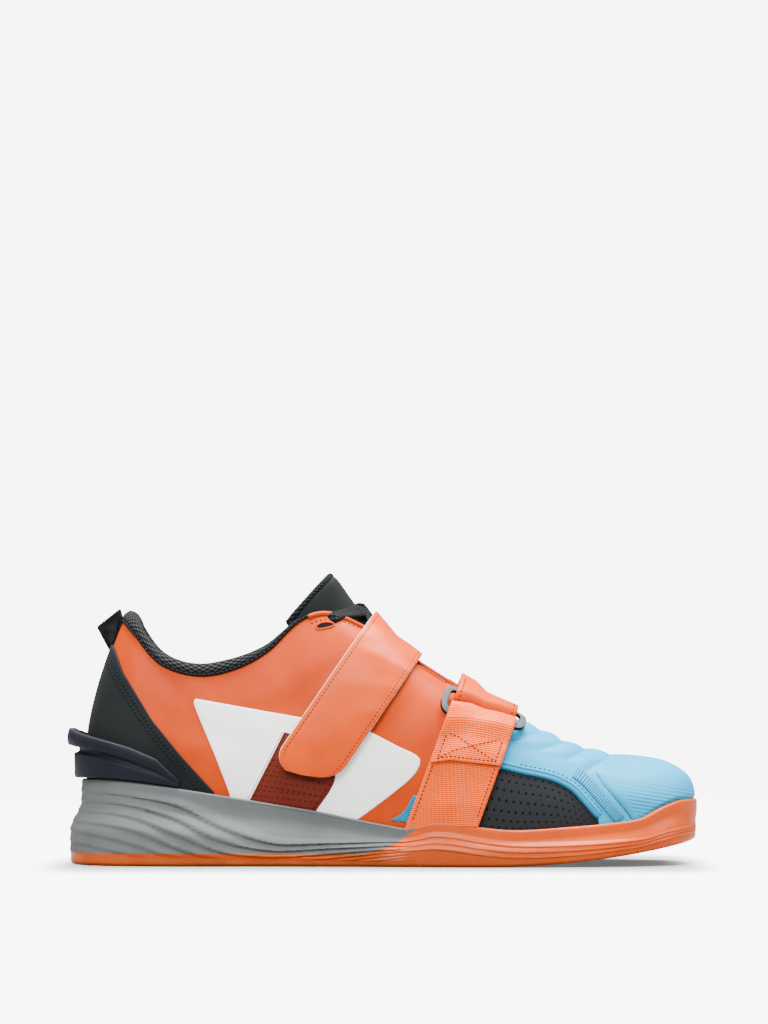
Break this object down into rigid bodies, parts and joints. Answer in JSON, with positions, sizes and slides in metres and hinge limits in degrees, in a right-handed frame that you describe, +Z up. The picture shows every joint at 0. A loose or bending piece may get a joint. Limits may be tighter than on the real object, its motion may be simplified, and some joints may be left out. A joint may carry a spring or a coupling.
{
  "type": "weightlifting shoe",
  "caption": "Low-cut weightlifting shoe with a raised wedge heel, padded collar, arched tongue, instep strap and forefoot strap through a flat ring.",
  "frame": {"origin": "flat underside of the outsole, halfway between heel and toe, on the middle line of the last", "axes": "+X from heel to toe, +Z up, -Y to the outer (lateral) side of a right foot, +Y to the inner side"},
  "size_m": [0.2999, 0.1127, 0.1375],
  "materials": {
    "gum_rubber": "satin",
    "grey_foam": "matte",
    "slate_plastic": "satin",
    "black_knit": "matte",
    "orange_leather": "satin",
    "slate_leather": "matte",
    "brick_leather": "matte",
    "orange_nylon": "satin",
    "grey_ring": "satin",
    "blue_synthetic": "satin",
    "perforated_black": "matte"
  },
  "bodies": {
    "root": {"outsole": "gum_rubber", "midsole": "grey_foam", "heel_clip": "slate_plastic", "insole": "black_knit", "upper": "orange_leather", "collar_padding": "black_knit", "pull_tab": "black_knit", "heel_counter": "slate_leather", "strap_anchor": "brick_leather", "instep_strap": "orange_leather", "forefoot_webbing": "orange_nylon", "ring_buckle": "grey_ring", "forefoot_strap": "orange_leather", "tongue": "slate_leather", "lace_crossing_1": "black_knit", "lace_crossing_2": "black_knit", "lace_crossing_3": "black_knit", "toe_overlay": "blue_synthetic", "side_panel_lateral": "perforated_black", "side_panel_medial": "perforated_black"}
  },
  "joints": []
}
